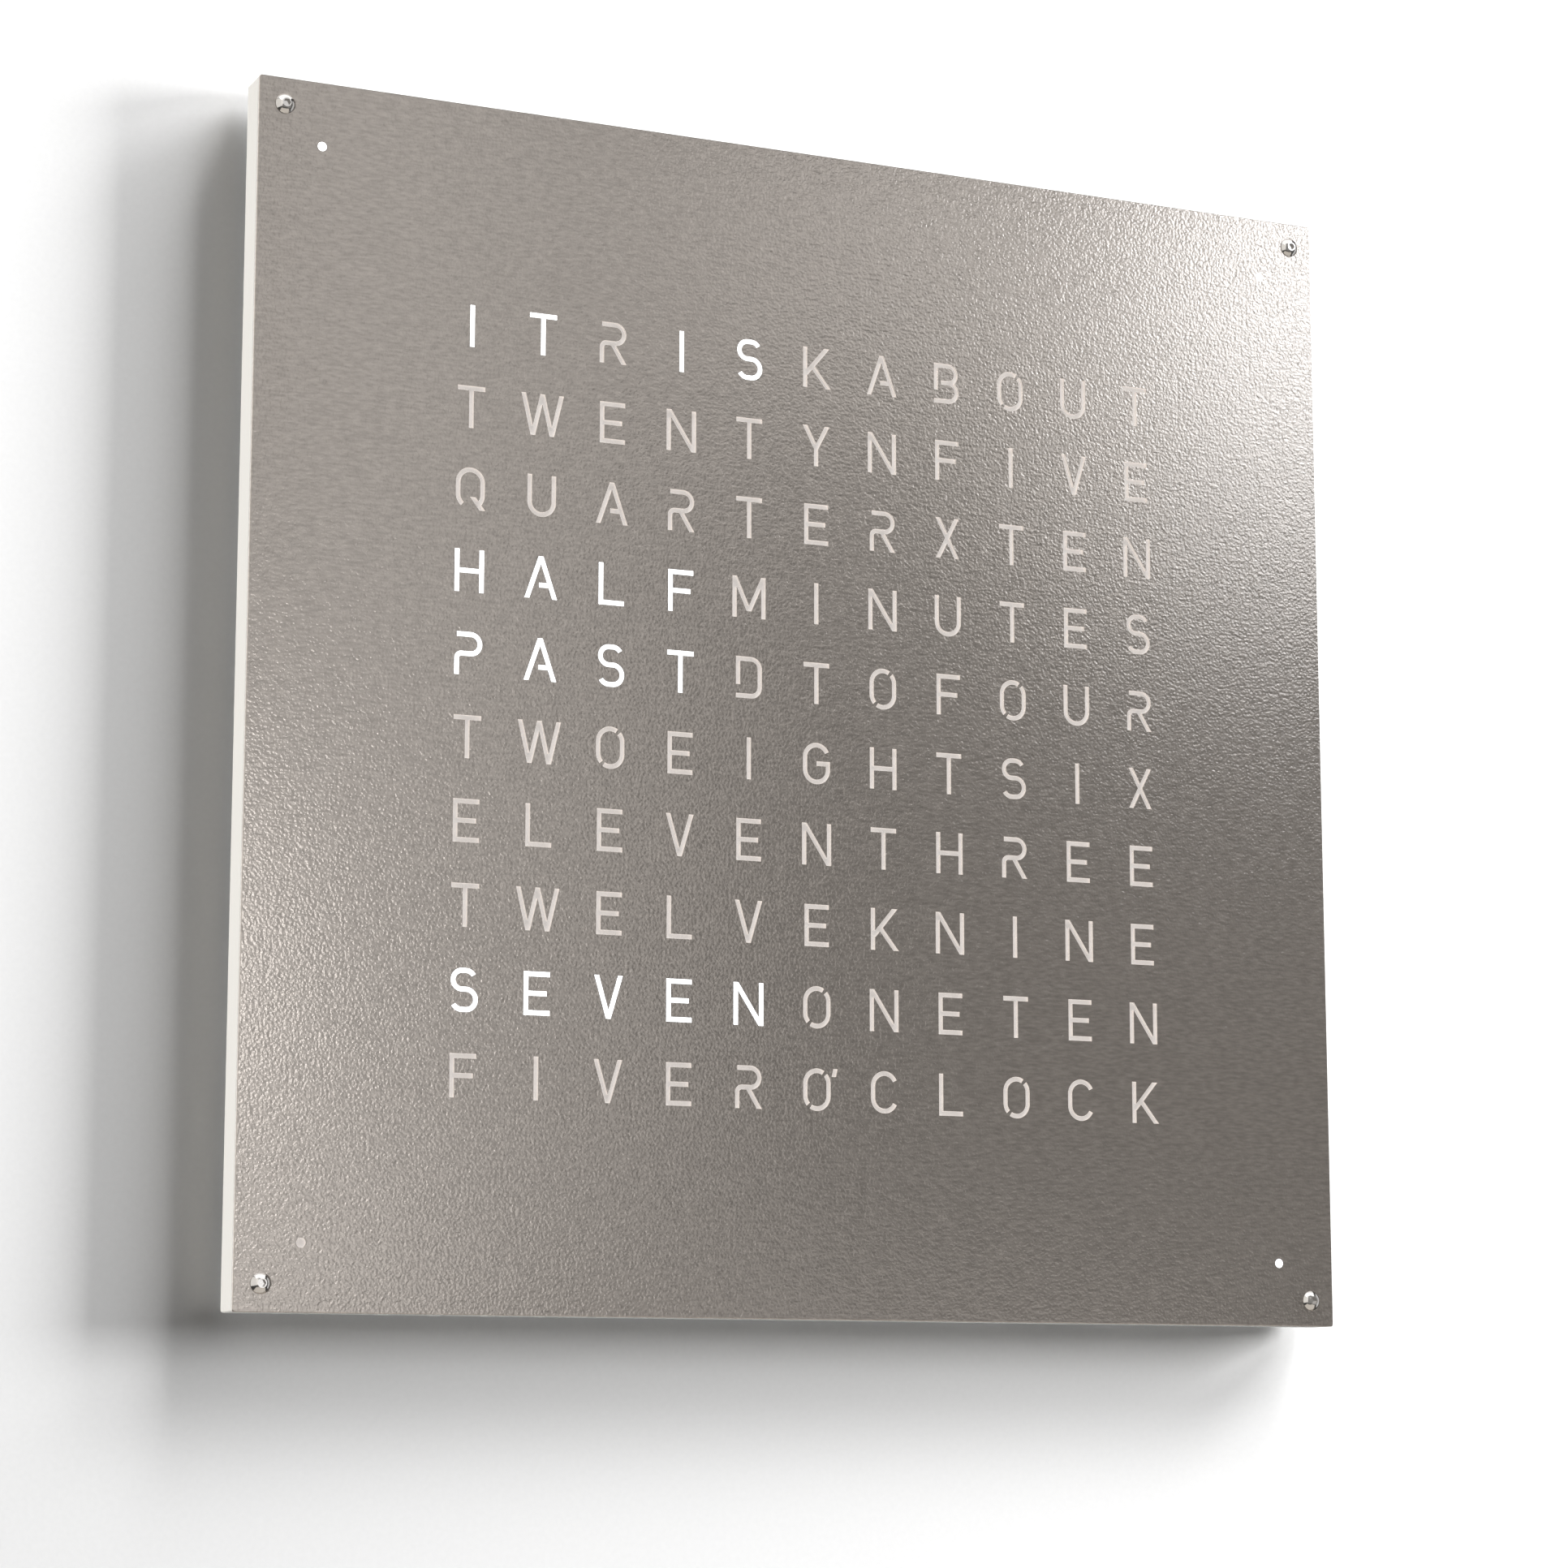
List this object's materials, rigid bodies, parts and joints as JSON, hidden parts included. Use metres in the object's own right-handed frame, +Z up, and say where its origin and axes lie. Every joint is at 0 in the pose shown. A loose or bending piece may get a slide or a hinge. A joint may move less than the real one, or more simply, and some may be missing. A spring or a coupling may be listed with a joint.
{
  "type": "word clock",
  "caption": "Square wall clock that spells the time in backlit letters cut through a brushed steel cover on a shallow white casing, hung on a wall bracket.",
  "frame": {"origin": "on the wall, at the middle of the four wall screws, behind the middle of the cover", "axes": "+X to the right seen from the front, +Y into the wall, +Z up"},
  "size_m": [0.45, 0.0222, 0.4503],
  "materials": {
    "brushed_cover": "fine horizontal brush, satin",
    "lacquer": "off-white satin lacquer on fibreboard",
    "polished_steel": "polished",
    "opal": "opal, satin",
    "white_moulding": "matt white",
    "circuit_board": "solder mask",
    "led_package": "white package",
    "chip": "moulded epoxy",
    "connector": "nylon",
    "flat_cable": "polyester film",
    "lead": "PVC sleeve",
    "panel": "anodised, fine grain",
    "zinc_plate": "zinc plated",
    "brass_part": "turned",
    "buffer": "soft matt",
    "black_moulding": "fine spark texture",
    "button": "satin",
    "clear_guide": "clear acrylic",
    "ferrite": "ground ferrite",
    "copper_winding": "enamelled copper wire",
    "cell_can": "nickel plated",
    "capacitor_can": "sleeved can"
  },
  "bodies": {
    "wall_mount": {"wall_bracket": "zinc_plate"},
    "clock": {"antenna_clips": "black_moulding", "antenna_coil": "copper_winding", "antenna_rod": "ferrite", "back_panel": "panel", "back_panel_screws": "zinc_plate", "battery_holder": "black_moulding", "board_link_cable": "flat_cable", "board_screws": "zinc_plate", "board_spacers": "brass_part", "button_board": "circuit_board", "button_lead": "lead", "button_switches": "chip", "cable_connectors": "connector", "capacitors": "capacitor_can", "casing_rail_bottom": "lacquer", "casing_rail_left": "lacquer", "casing_rail_right": "lacquer", "casing_rail_top": "lacquer", "clock_chip": "chip", "coin_cell": "cell_can", "control_board": "circuit_board", "control_cable": "flat_cable", "corner_blocks": "black_moulding", "cover_screws": "polished_steel", "crystal": "cell_can", "diffuser": "opal", "dot_boards": "circuit_board", "dot_leads": "lead", "dot_leds": "led_package", "dot_spacers": "brass_part", "dot_wells": "white_moulding", "front_cover": "brushed_cover", "inlet_recess": "black_moulding", "jack_nut": "brass_part", "led_board_lower": "circuit_board", "led_board_upper": "circuit_board", "led_drivers": "chip", "letter_leds_lower": "led_package", "letter_leds_upper": "led_package", "light_grid": "white_moulding", "light_sensor": "chip", "microcontroller": "chip", "power_header": "connector", "power_jack": "black_moulding", "power_leads": "lead", "receiver_board": "circuit_board", "receiver_chip": "chip", "receiver_lead": "lead", "sensor_window": "clear_guide", "threaded_inserts": "brass_part", "wall_buffers": "buffer"},
    "hour_button": {"button_hour": "button"},
    "minute_button": {"button_minute": "button"},
    "dimmer_button": {"button_dimmer": "button"},
    "mode_button": {"button_mode": "button"}
  },
  "joints": [
    {"name": "clock_lift", "type": "slide", "parent": "wall_mount", "child": "clock", "axis": [0, 0, 1], "range_m": [0, 0.009]},
    {"name": "hour_press", "type": "slide", "parent": "clock", "child": "hour_button", "axis": [0, 0, 1], "range_m": [0, 0.0006], "stiffness_N_per_m": 800},
    {"name": "minute_press", "type": "slide", "parent": "clock", "child": "minute_button", "axis": [0, 0, 1], "range_m": [0, 0.0006], "stiffness_N_per_m": 800},
    {"name": "dimmer_press", "type": "slide", "parent": "clock", "child": "dimmer_button", "axis": [0, 0, 1], "range_m": [0, 0.0006], "stiffness_N_per_m": 800},
    {"name": "mode_press", "type": "slide", "parent": "clock", "child": "mode_button", "axis": [0, 0, 1], "range_m": [0, 0.0006], "stiffness_N_per_m": 800}
  ]
}
